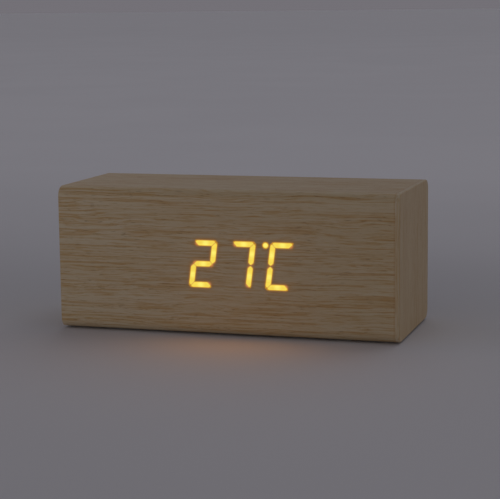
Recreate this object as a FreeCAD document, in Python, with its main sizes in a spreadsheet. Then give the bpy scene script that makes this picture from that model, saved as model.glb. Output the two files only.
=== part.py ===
"""Desk carbon dioxide monitor in a wood-veneered block, as a FreeCAD document of separate sub-parts.

A veneered fibreboard tube with two end caps holds a four-digit LED display behind its front wall. A black
moulded panel closes the back: it holds a battery well with a tilting door, air slots with a carbon dioxide
sensor behind them, three buttons and a USB-C socket. Lengths are in millimetres. X runs along the width, the
front face looks along -Y, Z is up, and the origin is on the table under the middle of the block.
"""
import FreeCAD
import Part

import math
import operator
import os
import sys

import Sketcher
from FreeCAD import Placement, Rotation, Vector

DIMENSIONS = {
    # the block
    "case_width": 170, "case_depth": 70, "case_height": 70, "long_edge_radius": 5,
    "cap_thick": 2, "cap_edge_radius": 0.6, "veneer_thick": 0.5, "core_thick": 5.5,
    "end_board_thick": 6, "foot_height": 0.8, "foot_radius": 5, "foot_inset_x": 11, "foot_inset_y": 13,
    # the seven-segment digits, and their place on the front face
    "display_x": -0.9, "display_rise": -0.6, "digit_pitch": 19.1, "column_spacing": 9.3,
    "row_spacing": 10.1, "bar_width": 2.9, "bar_gap": 0.3, "bar_mitre": 0.9, "slant_angle": 7.5,
    "dot_radius": 1.7, "degree_shift": -8.3, "degree_rise": 9.9, "colon_rise": 4.2,
    # the light box behind the front wall, and its board
    "film_thick": 0.3, "window_width": 82, "window_height": 31, "window_clearance": 0.2,
    "mask_depth": 8.8, "mask_flange_width": 94, "mask_flange_height": 39, "mask_flange_thick": 1.6,
    "mask_seat_width": 84, "mask_seat_height": 33, "mask_screw_x": 44.4, "mask_screw_rise": 12,
    "board_thick": 1.6, "led_length": 1.6, "led_width": 0.8, "led_height": 0.7,
    "display_screw_x": 39.2, "display_screw_rise": 14, "driver_x": -16, "driver_rise": 2,
    "driver_width": 10, "driver_height": 7.5, "driver_thick": 2,
    # the rear panel and the opening it closes
    "panel_width": 136, "panel_height": 46, "panel_corner_radius": 5, "panel_thick": 2,
    "panel_recess": 0.6, "panel_clearance": 0.3, "opening_width": 123, "opening_height": 38.4,
    "panel_screw_x": 64.4, "panel_screw_rise": 18.4, "counterbore_depth": 1.3, "counterbore_radius": 2.6,
    "slot_width": 1.6, "slot_height": 14, "slot_pitch": 3.2, "slot_count": 9, "vent_x": 12,
    # the three buttons and the switches behind them
    "button_pitch": 10, "button_rise": 4.5, "button_radius": 3, "button_clearance": 0.2,
    "button_proud": 0.45, "button_travel": 0.5, "button_edge_radius": 0.5, "collar_radius": 4,
    "collar_thick": 1.4, "collar_play": 0.1, "stem_radius": 2, "stem_play": 0.05, "symbol_size": 1.1,
    "symbol_rise": 6.2, "symbol_depth": 0.3, "switch_size": 6, "switch_height": 3.4,
    "plunger_radius": 1.7, "plunger_clearance": 0.1, "plunger_top": 4.3, "plunger_bottom": 1.6,
    # the main board and what stands on it
    "main_x": 45.2, "main_width": 31, "main_height": 29, "main_gap": 7.5, "main_boss_x": 12.9,
    "main_boss_rise": 11.6, "boss_radius": 2.4, "screw_radius": 1, "screw_length": 4.4, "screw_play": 0.1,
    "screw_head_radius": 2, "screw_head_height": 1.1, "cross_width": 0.55, "cross_length": 2.4,
    "cross_depth": 0.6, "processor_size": 7, "processor_thick": 1.5, "processor_x": -7,
    "processor_rise": 4.5, "crystal_radius": 1, "crystal_length": 6, "crystal_x": 5.5, "crystal_rise": -7.1,
    "holder_x": 6.6, "holder_rise": 1.8, "holder_width": 15, "holder_height": 13.4, "holder_depth": 4,
    "holder_floor": 1.2, "coin_radius": 6.25, "coin_thick": 2, "coin_play": 0.1, "buzzer_x": -6.5,
    "buzzer_rise": -4, "buzzer_radius": 4.5, "buzzer_height": 5, "buzzer_mouth_radius": 0.9,
    "buzzer_mouth_depth": 1.2, "climate_x": -10.3, "climate_rise": -6, "climate_size": 3,
    "climate_thick": 1, "port_radius": 0.7, "port_ring_radius": 2, "port_count": 6,
    "usb_rise": -8, "usb_width": 8.94, "usb_height": 3.26, "usb_wall": 0.3, "usb_corner_radius": 1.6,
    "usb_length": 9.1, "tongue_width": 6.7, "tongue_thick": 0.7, "tongue_length": 7.6,
    "usb_clearance": 0.25, "plug_recess_width": 12.8, "plug_recess_height": 7, "plug_recess_depth": 0.8,
    # the carbon dioxide sensor
    "sensor_board_width": 33, "sensor_board_height": 24, "sensor_board_thick": 1, "sensor_gap": 9,
    "sensor_boss_x": 14.2, "sensor_boss_rise": 9.6, "chamber_width": 23, "chamber_height": 14,
    "chamber_depth": 6.4, "chamber_edge_radius": 1, "membrane_radius": 3.2, "membrane_thick": 0.4,
    "membrane_spacing": 11, "filter_thick": 0.8, "filter_width": 33, "filter_height": 22,
    # the battery well, its door and three AAA cells
    "well_x": -34, "cavity_length": 51, "cavity_height": 34.1, "cavity_depth": 12, "well_wall": 1.5,
    "lip_reach": 1.5, "door_overlap": 0.6, "door_gap": 0.3, "door_play": 0.05, "door_reach": 50.1,
    "door_bevel": 1.6, "door_root": 0.15, "hook_width": 6, "hook_reach": 1.2,
    "hook_root": 3, "latch_shift": 48, "latch_thick": 0.8, "latch_width": 3.6, "latch_length": 4.2,
    "scoop_radius": 4.5, "scoop_depth": 0.8, "grip_width": 0.8, "grip_pitch": 2, "grip_count": 5,
    "grip_depth": 0.4, "grip_inset": 10,
    "cell_radius": 5.25, "cell_length": 44.5, "cell_pitch": 11.3, "cell_lift": 0.6, "nub_radius": 1.9,
    "nub_length": 1.2, "shoulder_radius": 4.4, "shoulder_length": 0.6, "contact_size": 7,
    "contact_thick": 0.4, "spring_wire_radius": 0.3, "spring_tip_radius": 1.9, "spring_turns": 4,
    "spring_cone_angle": 12, "spring_steps": 12, "spring_sides": 8, "rib_thick": 0.8, "rib_height": 5,
    # the wiring
    "socket_width": 17, "socket_height": 4.6, "socket_depth": 5, "display_socket_x": 24,
    "display_socket_rise": -11, "main_socket_rise": -11.5, "ribbon_width": 14, "ribbon_thick": 0.9,
    "plug_x": 4, "plug_rise": 11.8, "plug_width": 6, "plug_height": 4.5, "plug_depth": 6,
    "lead_radius": 0.6, "lead_spacing": 2.4, "lead_start_x": -12, "lead_start_rise": 14,
    "jumper_count": 4, "jumper_pitch": 1.6, "jumper_start_x": 14.5, "jumper_end_x": -14, "jumper_bow": 8,
}
SIGNS = {"+": operator.add, "-": operator.sub, "*": operator.mul, "/": operator.truediv}
X_WAY, Y_WAY, Z_WAY = Vector(1, 0, 0), Vector(0, 1, 0), Vector(0, 0, 1)
ALONG = {"x": Rotation(Y_WAY, 90), "y": Rotation(X_WAY, -90), "z": Rotation()}
NEAR = 1e-3

doc = FreeCAD.newDocument("co2_monitor")
sheet = doc.addObject("Spreadsheet::Sheet", "dims")
nodes = {}


# ---------------------------------------------------------------- lengths

def fill_sheet():
    for line, (name, number) in enumerate(DIMENSIONS.items(), start=1):
        sheet.set(f"A{line}", name)
        sheet.set(f"B{line}", str(number))
        sheet.setAlias(f"B{line}", name)
    doc.recompute()


class Length:
    """A length held twice: as an expression of the sheet's cells, and as the number it comes to."""

    def __init__(self, text, number):
        self.text = text
        self.number = float(number)

    def __float__(self):
        return self.number

    def __add__(self, other):
        return combined("+", self, other)

    def __radd__(self, other):
        return combined("+", other, self)

    def __sub__(self, other):
        return combined("-", self, other)

    def __rsub__(self, other):
        return combined("-", other, self)

    def __mul__(self, other):
        return combined("*", self, other)

    def __rmul__(self, other):
        return combined("*", other, self)

    def __truediv__(self, other):
        return combined("/", self, other)

    def __neg__(self):
        return combined("*", -1, self)


def as_length(amount):
    return amount if isinstance(amount, Length) else Length(f"({float(amount):.9f})", amount)


def combined(sign, left, right):
    left, right = as_length(left), as_length(right)
    return Length(f"({left.text} {sign} {right.text})", SIGNS[sign](left.number, right.number))


class Sheet:
    """Reads a dimension out of the sheet by its alias, as a Length."""

    def __getattr__(self, name):
        return Length(f"dims.{name}", sheet.get(name))


def bind(thing, prop, length):
    thing.setExpression(prop, as_length(length).text)


def around(centre, width):
    """The low and high ends of a width about a centre."""
    return (centre - width / 2, centre + width / 2)


def corners(x, z, about_x, about_z):
    """The four places at plus and minus x and z about a centre."""
    return [(about_x + i * x, about_z + j * z) for i in (-1, 1) for j in (-1, 1)]


fill_sheet()
dim = Sheet()
FRONT, BACK = -dim.case_depth / 2, dim.case_depth / 2
BASE, TOP = dim.foot_height, dim.foot_height + dim.case_height
MIDDLE = dim.foot_height + dim.case_height / 2
WALL = dim.veneer_thick + dim.core_thick
CAP_SEAT = dim.case_width / 2 - dim.cap_thick

DISPLAY_Z = MIDDLE + dim.display_rise
FILM_FRONT = FRONT + dim.veneer_thick
MASK_FRONT = FILM_FRONT + dim.film_thick
MASK_SEAT = FRONT + WALL
MASK_FLANGE_BACK = MASK_SEAT + dim.mask_flange_thick
MASK_BACK = MASK_FRONT + dim.mask_depth
DISPLAY_BACK = MASK_BACK + dim.board_thick

PANEL_OUT = BACK - dim.panel_recess
PANEL_IN = PANEL_OUT - dim.panel_thick
MAIN_BACK = PANEL_IN - dim.main_gap
MAIN_FRONT = MAIN_BACK - dim.board_thick
SENSOR_BACK = PANEL_IN - dim.sensor_gap
SENSOR_FRONT = SENSOR_BACK - dim.sensor_board_thick
USB_PLACE = (dim.main_x, MIDDLE + dim.usb_rise)
CLIMATE_PLACE = (dim.main_x + dim.climate_x, MIDDLE + dim.climate_rise)

CELL_Y = PANEL_IN - dim.cell_lift - dim.cell_radius
CAVITY_FRONT = PANEL_IN - dim.cavity_depth
WELL_FRONT = CAVITY_FRONT - dim.well_wall
HINGE_X = dim.well_x - dim.cavity_length / 2 + dim.lip_reach
DOOR_END = HINGE_X + dim.door_reach
DOOR_HEIGHT = dim.cavity_height + 2 * dim.door_overlap
CONTACT_REACH = dim.cavity_length / 2 - dim.contact_thick

DISPLAY_SCREWS = corners(dim.display_screw_x, dim.display_screw_rise, dim.display_x, DISPLAY_Z)
MASK_SCREWS = corners(dim.mask_screw_x, dim.mask_screw_rise, dim.display_x, DISPLAY_Z)
PANEL_SCREWS = corners(dim.panel_screw_x, dim.panel_screw_rise, 0, MIDDLE)
MAIN_BOSSES = corners(dim.main_boss_x, dim.main_boss_rise, dim.main_x, MIDDLE)
SENSOR_BOSSES = corners(dim.sensor_boss_x, dim.sensor_boss_rise, dim.vent_x, MIDDLE)


# ---------------------------------------------------------------- solids and booleans

def keep(label, thing):
    """Makes thing the sub-part that this label names."""
    thing.Label = label
    nodes[label] = thing
    return thing


def box(name, x, y, z):
    solid = doc.addObject("Part::Box", name)
    for side, letter, (low, high) in (("Length", "x", x), ("Width", "y", y), ("Height", "z", z)):
        bind(solid, side, high - low)
        bind(solid, f"Placement.Base.{letter}", low)
    return solid


def rod(name, axis, centre, ends, radius):
    """A cylinder along axis: centre holds its other two coordinates, ends its low and high end."""
    solid = doc.addObject("Part::Cylinder", name)
    solid.Placement = Placement(Vector(), ALONG[axis])
    bind(solid, "Radius", radius)
    bind(solid, "Height", ends[1] - ends[0])
    bind(solid, f"Placement.Base.{axis}", ends[0])
    for letter, place in zip([letter for letter in "xyz" if letter != axis], centre):
        bind(solid, f"Placement.Base.{letter}", place)
    return solid


def fuse(name, shapes):
    joined = doc.addObject("Part::MultiFuse", name)
    joined.Shapes = shapes
    joined.Refine = True
    return joined


def cut(name, base, tools):
    result = doc.addObject("Part::Cut", name)
    result.Base = base
    result.Tool = tools[0] if len(tools) == 1 else fuse(f"{name}_tools", tools)
    result.Refine = True
    return result


def rounded(name, base, radius, wanted):
    """Rounds the edges of base that wanted(edge) picks."""
    doc.recompute()
    result = doc.addObject("Part::Fillet", name)
    result.Base = base
    picked = [i for i, edge in enumerate(base.Shape.Edges, start=1) if wanted(edge)]
    result.Edges = [(i, float(radius), float(radius)) for i in picked]
    return result


def block_on_board(label, place, seat, outward, width, height, depth):
    """A chip or socket on a board's face: outward is +1 if it stands towards the back, else -1."""
    ends = (seat, seat + depth) if outward > 0 else (seat - depth, seat)
    return keep(label, box(label, around(place[0], width), ends, around(place[1], height)))


def screws(label, places, seat, inward):
    """Small cross-head screws along Y. Each head rests on seat, and its shank runs the way of inward."""
    def run(start, end):
        near, far = seat + inward * start, seat + inward * end
        return (near, far) if inward > 0 else (far, near)

    shank, head = run(0, dim.screw_length), run(-dim.screw_head_height, 0)
    recess = run(-dim.screw_head_height, dim.cross_depth - dim.screw_head_height)
    arms = ((dim.cross_length, dim.cross_width), (dim.cross_width, dim.cross_length))
    metal, crosses = [], []
    for i, (x, z) in enumerate(places):
        metal.append(rod(f"{label}_shank_{i}", "y", (x, z), shank, dim.screw_radius))
        metal.append(rod(f"{label}_head_{i}", "y", (x, z), head, dim.screw_head_radius))
        for j, (wide, tall) in enumerate(arms):
            crosses.append(box(f"{label}_cross_{i}_{j}", around(x, wide), recess, around(z, tall)))
    return keep(label, cut(label, fuse(f"{label}_metal", metal), crosses))


def drilled_board(label, x, y, z, places):
    """A circuit board in the XZ plane with its screw holes."""
    holes = [rod(f"{label}_hole_{i}", "y", place, y, dim.screw_radius) for i, place in enumerate(places)]
    return keep(label, cut(label, box(f"{label}_sheet", x, y, z), holes))


def fixed_shape(label, solids):
    """An object whose shape is worked out here from the sheet's dimensions."""
    thing = doc.addObject("Part::Feature", label)
    thing.Shape = Part.makeCompound(solids)
    return thing


def swept(points, profile, leaving, arriving, one_way_bend=False):
    """A solid swept along a smooth curve through points, which leaves and arrives in given directions.

    A curve that bends one way only turns its profile with it, and any other keeps its profile upright.
    """
    curve = Part.BSplineCurve()
    curve.interpolate(Points=points, InitialTangent=leaving, FinalTangent=arriving)
    return Part.Wire([curve.toShape()]).makePipeShell([profile], True, one_way_bend)


# ---------------------------------------------------------------- PartDesign bodies

def new_body(name):
    return doc.addObject("PartDesign::Body", name)


def sketch_on(body, name, plane, offset=0):
    """A sketch on one of the body's own origin planes, offset along that plane's normal."""
    sketch = body.newObject("Sketcher::SketchObject", name)
    origin_plane = next(part for part in body.Origin.OriginFeatures if part.Role == plane)
    sketch.AttachmentSupport = [(origin_plane, "")]
    sketch.MapMode = "FlatFace"
    bind(sketch, "AttachmentOffset.Base.z", offset)
    return sketch


def sketch_at_depth(body, name, y=0):
    """A sketch in the XZ plane at a given Y. That plane's normal looks along -Y."""
    return sketch_on(body, name, "XZ_Plane", -as_length(y))


def fix_point(sketch, shape, end, x, y):
    """Holds one end of a sketch line, or a circle's centre, at a place given in lengths."""
    for kind, place in (("DistanceX", x), ("DistanceY", y)):
        index = sketch.addConstraint(Sketcher.Constraint(kind, -1, 1, shape, end, 1.0))
        bind(sketch, f"Constraints[{index}]", place)


def add_polygon(sketch, points):
    """A closed outline through points."""
    spots = [Vector(float(x), float(y), 0) for x, y in points]
    ring = zip(spots, spots[1:] + spots[:1])
    lines = [sketch.addGeometry(Part.LineSegment(start, end)) for start, end in ring]
    for i, (x, y) in enumerate(points):
        sketch.addConstraint(Sketcher.Constraint("Coincident", lines[i - 1], 2, lines[i], 1))
        fix_point(sketch, lines[i], 1, x, y)


def add_rectangle(sketch, x, y):
    add_polygon(sketch, [(x[0], y[0]), (x[1], y[0]), (x[1], y[1]), (x[0], y[1])])


def add_circles(sketch, places, radius):
    for x, y in places:
        ring = sketch.addGeometry(Part.Circle(Vector(float(x), float(y), 0), Z_WAY, float(radius)))
        fix_point(sketch, ring, 3, x, y)
        index = sketch.addConstraint(Sketcher.Constraint("Radius", ring, 1.0))
        bind(sketch, f"Constraints[{index}]", radius)


def pad(body, sketch, name, length, backwards=False, symmetric=False):
    feature = body.newObject("PartDesign::Pad", name)
    feature.Profile = sketch
    bind(feature, "Length", length)
    feature.Reversed = backwards
    feature.SideType = "Symmetric" if symmetric else "One side"
    return feature


def pocket(body, sketch, name, length=None, along_normal=False):
    """Cuts against the sketch's normal, or along it; through everything where no length is given."""
    feature = body.newObject("PartDesign::Pocket", name)
    feature.Profile = sketch
    if length is None:
        feature.Type = "ThroughAll"
    else:
        bind(feature, "Length", length)
    feature.Reversed = along_normal
    return feature


def fillet(body, name, radius, wanted):
    """Rounds those edges of the body's last feature that wanted(edge) picks."""
    doc.recompute()
    base = body.Tip
    feature = body.newObject("PartDesign::Fillet", name)
    feature.Base = (base, [f"Edge{i}" for i, edge in enumerate(base.Shape.Edges, start=1) if wanted(edge)])
    bind(feature, "Radius", radius)
    return feature


def repeated(body, name, feature, axis, pitch, count):
    """A row of count copies of a feature along one of the body's axes."""
    pattern = body.newObject("PartDesign::LinearPattern", name)
    pattern.Originals = [feature]
    line = next(part for part in body.Origin.OriginFeatures if part.Role == axis)
    pattern.Direction = (line, [""])
    bind(pattern, "Length", pitch * (count - 1))
    bind(pattern, "Occurrences", count)
    body.Tip = pattern
    return pattern


def runs_along(edge, axis):
    """Whether a straight edge is parallel to axis."""
    if edge.Curve.TypeId != "Part::GeomLine":
        return False
    return abs(abs(edge.tangentAt(edge.FirstParameter).dot(axis)) - 1) < NEAR


# ---------------------------------------------------------------- wooden case

def tube(name, outer, inner):
    """A square tube along X, between two sections given as distances in from the block's long faces."""
    body = new_body(name)
    section = sketch_on(body, f"{name}_section", "YZ_Plane")
    for inset in (outer, inner):
        add_rectangle(section, (FRONT + inset, BACK - inset), (BASE + inset, TOP - inset))
    pad(body, section, f"{name}_length", dim.case_width - 2 * dim.cap_thick, symmetric=True)
    return body


def at_section_corner(inset):
    """Picks the long edges at the corners of the section this far in from the block's long faces."""
    half_depth, half_height = float(BACK - inset), float(TOP - inset - MIDDLE)

    def wanted(edge):
        centre = edge.CenterOfMass
        off_y = abs(abs(centre.y) - half_depth)
        off_z = abs(abs(centre.z - float(MIDDLE)) - half_height)
        return runs_along(edge, X_WAY) and off_y < NEAR and off_z < NEAR
    return wanted


def cut_panel_rebate(body, name):
    """The rounded opening in the back that the rear panel drops into."""
    width = dim.panel_width + 2 * dim.panel_clearance
    outline = sketch_at_depth(body, f"{name}_rebate_outline", PANEL_IN)
    add_rectangle(outline, around(0, width), around(MIDDLE, dim.panel_height + 2 * dim.panel_clearance))
    pocket(body, outline, f"{name}_rebate")

    def at_corner(edge):
        return runs_along(edge, Y_WAY) and abs(abs(edge.CenterOfMass.x) - float(width) / 2) < NEAR
    fillet(body, f"{name}_rebate_corners", dim.panel_corner_radius + dim.panel_clearance, at_corner)


def case_core():
    """The fibreboard tube under the veneer, with its display window, rear opening and screw holes."""
    core = tube("case_core", dim.veneer_thick, WALL)
    fillet(core, "core_long_edges", dim.long_edge_radius - dim.veneer_thick,
           at_section_corner(dim.veneer_thick))
    cut_panel_rebate(core, "core")
    window = sketch_at_depth(core, "window_outline")
    add_rectangle(window, around(dim.display_x, dim.window_width + 2 * dim.window_clearance),
                  around(DISPLAY_Z, dim.window_height + 2 * dim.window_clearance))
    pocket(core, window, "window", along_normal=True)
    opening = sketch_at_depth(core, "opening_outline")
    add_rectangle(opening, around(0, dim.opening_width), around(MIDDLE, dim.opening_height))
    pocket(core, opening, "opening")
    front_holes = sketch_at_depth(core, "mask_screw_places", MASK_SEAT)
    add_circles(front_holes, MASK_SCREWS, dim.screw_radius)
    pocket(core, front_holes, "mask_screw_holes", dim.screw_length - dim.mask_flange_thick, along_normal=True)
    back_holes = sketch_at_depth(core, "panel_screw_places")
    add_circles(back_holes, PANEL_SCREWS, dim.screw_radius)
    pocket(core, back_holes, "panel_screw_holes")
    keep("case_core", core)


def veneer_wrap(lit):
    """The veneer bent round all four long faces, with the lit bars of the display cut out of it."""
    skin = tube("veneer_sheet", 0, dim.veneer_thick)
    fillet(skin, "veneer_outer_edges", dim.long_edge_radius, at_section_corner(0))
    fillet(skin, "veneer_inner_edges", dim.long_edge_radius - dim.veneer_thick,
           at_section_corner(dim.veneer_thick))
    cut_panel_rebate(skin, "veneer")
    keep("veneer_wrap", cut("veneer_wrap", skin, [lit]))


def end_cap():
    """The right-hand end panel, with its outline and its outer rim rounded."""
    cap = new_body("end_cap_right")
    outline = sketch_on(cap, "cap_outline", "YZ_Plane", CAP_SEAT)
    add_rectangle(outline, (FRONT, BACK), (BASE, TOP))
    pad(cap, outline, "cap_sheet", dim.cap_thick)
    fillet(cap, "cap_corners", dim.long_edge_radius, lambda edge: runs_along(edge, X_WAY))
    outer_face = float(dim.case_width / 2)
    fillet(cap, "cap_rim", dim.cap_edge_radius, lambda edge: abs(edge.BoundBox.XMin - outer_face) < NEAR)
    return keep("end_cap_right", cap)


def mirrored(label, source):
    """The left-hand twin of a right-hand sub-part."""
    twin = doc.addObject("Part::Mirroring", label)
    twin.Source = source
    twin.Normal = X_WAY
    keep(label, twin)


def build_case(lit):
    case_core()
    veneer_wrap(lit)
    mirrored("end_cap_left", end_cap())
    board = box("end_board_right", (CAP_SEAT - dim.end_board_thick, CAP_SEAT), (FRONT + WALL, BACK - WALL),
                (BASE + WALL, TOP - WALL))
    mirrored("end_board_left", keep("end_board_right", board))
    places = corners(dim.case_width / 2 - dim.foot_inset_x, dim.case_depth / 2 - dim.foot_inset_y, 0, 0)
    table = as_length(0)
    pads = [rod(f"foot_{i}", "z", place, (table, BASE), dim.foot_radius) for i, place in enumerate(places)]
    keep("feet", fuse("feet", pads))


# ---------------------------------------------------------------- display

def bar_outlines():
    """Outlines of a digit's seven bars about its centre, before it leans, by their usual letters."""
    half, gap, mitre = float(dim.bar_width) / 2, float(dim.bar_gap) / 2, float(dim.bar_mitre)
    side, rise = float(dim.column_spacing) / 2, float(dim.row_spacing)
    right_end = [(side - half - gap, rise - half), (side + half - gap - mitre / 2, rise + half - mitre / 2),
                 (side + half - gap - mitre, rise + half)]
    top = right_end + [(-u, w) for u, w in reversed(right_end)]
    upper_right = [(side - half, rise - half - gap), (side + half - mitre / 2, rise + half - gap - mitre / 2),
                   (side + half, rise + half - gap - mitre), (side + half, half + gap), (side, gap),
                   (side - half, half + gap)]
    reach = side - gap
    middle = [(reach, 0), (reach - half, half), (half - reach, half), (-reach, 0), (half - reach, -half),
              (reach - half, -half)]

    def flipped(bar, across, up):
        return [(across * u, up * w) for u, w in bar]
    return {"a": top, "b": upper_right, "c": flipped(upper_right, 1, -1), "d": flipped(top, 1, -1),
            "e": flipped(upper_right, -1, -1), "f": flipped(upper_right, -1, 1), "g": middle}


def dot_places():
    """The degree mark by the last digit, then the colon's two dots, each as (digit, u, w)."""
    beside = float(dim.digit_pitch) / 2
    colon = [(1, beside, sign * float(dim.colon_rise)) for sign in (1, -1)]
    return [(3, float(dim.degree_shift), float(dim.degree_rise))] + colon


def on_display(digit, u, w, y):
    """A place about one digit's centre as a place in the frame: digits lean to the right as they rise."""
    centre = float(dim.display_x + (digit - 1.5) * dim.digit_pitch)
    lean = math.tan(math.radians(float(dim.slant_angle)))
    return Vector(centre + u + w * lean, float(y), float(DISPLAY_Z) + w)


def bar_prism(outline, digit, y, depth):
    points = [on_display(digit, u, w, y) for u, w in outline]
    return Part.Face(Part.makePolygon(points + points[:1])).extrude(Y_WAY * float(depth))


def dot_cylinder(place, y, depth):
    return Part.makeCylinder(float(dim.dot_radius), float(depth), on_display(*place, y), Y_WAY)


def light_cavities():
    """Every bar and dot of the four digits, as the hollows through the light box."""
    hollows = [bar_prism(bar, digit, MASK_FRONT, dim.mask_depth)
               for digit in range(4) for bar in bar_outlines().values()]
    hollows += [dot_cylinder(place, MASK_FRONT, dim.mask_depth) for place in dot_places()]
    return fixed_shape("light_cavities", hollows)


def lit_segments():
    """The patches of veneer that glow for a reading of 27 degrees Celsius, each a separate solid."""
    reading = {1: "abged", 2: "abc", 3: "afed"}
    bars = bar_outlines()
    patches = [bar_prism(bars[letter], digit, FRONT, dim.veneer_thick)
               for digit, letters in reading.items() for letter in letters]
    patches.append(dot_cylinder(dot_places()[0], FRONT, dim.veneer_thick))
    return keep("lit_segments", fixed_shape("lit_segments", patches))


def segment_mask():
    """The black light box: a plug in the wall's window, a flange behind it, and a seat for the board."""
    mask = new_body("mask_block")
    steps = (("plug", MASK_FRONT, MASK_SEAT, dim.window_width, dim.window_height),
             ("flange", MASK_SEAT, MASK_FLANGE_BACK, dim.mask_flange_width, dim.mask_flange_height),
             ("seat", MASK_FLANGE_BACK, MASK_BACK, dim.mask_seat_width, dim.mask_seat_height))
    for name, near, far, width, height in steps:
        outline = sketch_at_depth(mask, f"mask_{name}_outline", near)
        add_rectangle(outline, around(dim.display_x, width), around(DISPLAY_Z, height))
        pad(mask, outline, f"mask_{name}", far - near, backwards=True)
    holes = (("flange", MASK_FLANGE_BACK, MASK_SCREWS, dim.mask_flange_thick),
             ("seat", MASK_BACK, DISPLAY_SCREWS, dim.screw_length - dim.board_thick))
    for name, back, places, depth in holes:
        outline = sketch_at_depth(mask, f"mask_{name}_hole_places", back)
        add_circles(outline, places, dim.screw_radius)
        pocket(mask, outline, f"mask_{name}_holes", depth, along_normal=True)
    keep("segment_mask", cut("segment_mask", mask, [light_cavities()]))


def display_leds():
    """One small LED behind each bar and dot, standing on the display board."""
    spots = [(digit, sum(u for u, _ in bar) / len(bar), sum(w for _, w in bar) / len(bar), letter in "adg")
             for digit in range(4) for letter, bar in bar_outlines().items()]
    spots += [(*place, True) for place in dot_places()]
    leds = []
    for digit, u, w, lies_flat in spots:
        wide, tall = float(dim.led_length), float(dim.led_width)
        if not lies_flat:
            wide, tall = tall, wide
        corner = on_display(digit, u, w, MASK_BACK - dim.led_height) - Vector(wide / 2, 0, tall / 2)
        leds.append(Part.makeBox(wide, float(dim.led_height), tall, corner))
    keep("display_leds", fixed_shape("display_leds", leds))


def build_display():
    film = box("diffuser_film", around(dim.display_x, dim.window_width), (FILM_FRONT, MASK_FRONT),
               around(DISPLAY_Z, dim.window_height))
    keep("diffuser_film", film)
    segment_mask()
    display_leds()
    drilled_board("display_board", around(dim.display_x, dim.mask_seat_width), (MASK_BACK, DISPLAY_BACK),
                  around(DISPLAY_Z, dim.mask_seat_height), DISPLAY_SCREWS)
    screws("display_board_screws", DISPLAY_SCREWS, DISPLAY_BACK, -1)
    screws("mask_screws", MASK_SCREWS, MASK_FLANGE_BACK, -1)
    block_on_board("display_driver_chip", (dim.driver_x, MIDDLE + dim.driver_rise), DISPLAY_BACK, 1,
                   dim.driver_width, dim.driver_height, dim.driver_thick)


# ---------------------------------------------------------------- rear panel

def button_place(index):
    return (dim.main_x + (index - 1) * dim.button_pitch, MIDDLE + dim.button_rise)


def port_places():
    """A small ring of holes that lets air reach the temperature and humidity sensor."""
    x, z = CLIMATE_PLACE
    count = int(float(dim.port_count))
    angles = [2 * math.pi * i / count for i in range(count)]
    return [(x + dim.port_ring_radius * math.cos(a), z + dim.port_ring_radius * math.sin(a)) for a in angles]


def symbol_outlines():
    """A diamond, an up arrow and a down arrow above the three buttons."""
    diamond = [(0, -1), (1, 0), (0, 1), (-1, 0)]
    up_arrow = [(-1, -0.8), (1, -0.8), (0, 1)]
    down_arrow = [(-1, 0.8), (0, -1), (1, 0.8)]
    places = [button_place(index) for index in range(3)]
    return [[(x + u * dim.symbol_size, z + dim.symbol_rise + w * dim.symbol_size) for u, w in mark]
            for (x, z), mark in zip(places, (diamond, up_arrow, down_arrow))]


def add_bosses(panel):
    """Screw posts for the two circuit boards, each with a pilot hole in its end."""
    groups = (("main", MAIN_BOSSES, MAIN_BACK, dim.main_gap, dim.board_thick),
              ("sensor", SENSOR_BOSSES, SENSOR_BACK, dim.sensor_gap, dim.sensor_board_thick))
    for name, places, tip, height, board in groups:
        posts = sketch_at_depth(panel, f"{name}_boss_places", tip)
        add_circles(posts, places, dim.boss_radius)
        pad(panel, posts, f"{name}_bosses", height, backwards=True)
        pilots = sketch_at_depth(panel, f"{name}_pilot_places", tip)
        add_circles(pilots, places, dim.screw_radius)
        pocket(panel, pilots, f"{name}_pilots", dim.screw_length - board)


def add_battery_well(panel):
    """The box over the cells, moulded on the panel's inside, and the doorway that opens it to the back."""
    shell = sketch_at_depth(panel, "well_outline", WELL_FRONT)
    add_rectangle(shell, around(dim.well_x, dim.cavity_length + 2 * dim.well_wall),
                  around(MIDDLE, dim.cavity_height + 2 * dim.well_wall))
    pad(panel, shell, "well_shell", PANEL_IN - WELL_FRONT, backwards=True)
    cavity = sketch_at_depth(panel, "cavity_outline", CAVITY_FRONT)
    add_rectangle(cavity, around(dim.well_x, dim.cavity_length), around(MIDDLE, dim.cavity_height))
    pocket(panel, cavity, "well_cavity", dim.cavity_depth)
    doorway = sketch_at_depth(panel, "doorway_outline", PANEL_IN)
    add_rectangle(doorway, (HINGE_X, DOOR_END + dim.door_gap), around(MIDDLE, DOOR_HEIGHT + 2 * dim.door_gap))
    pocket(panel, doorway, "doorway")
    for side, name in ((-1, "lower"), (1, "upper")):
        rib = sketch_at_depth(panel, f"{name}_rib_outline", CAVITY_FRONT)
        add_rectangle(rib, around(dim.well_x, dim.cavity_length / 2),
                      around(MIDDLE + side * dim.cell_pitch / 2, dim.rib_thick))
        pad(panel, rib, f"{name}_cell_rib", dim.rib_height, backwards=True)


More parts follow.
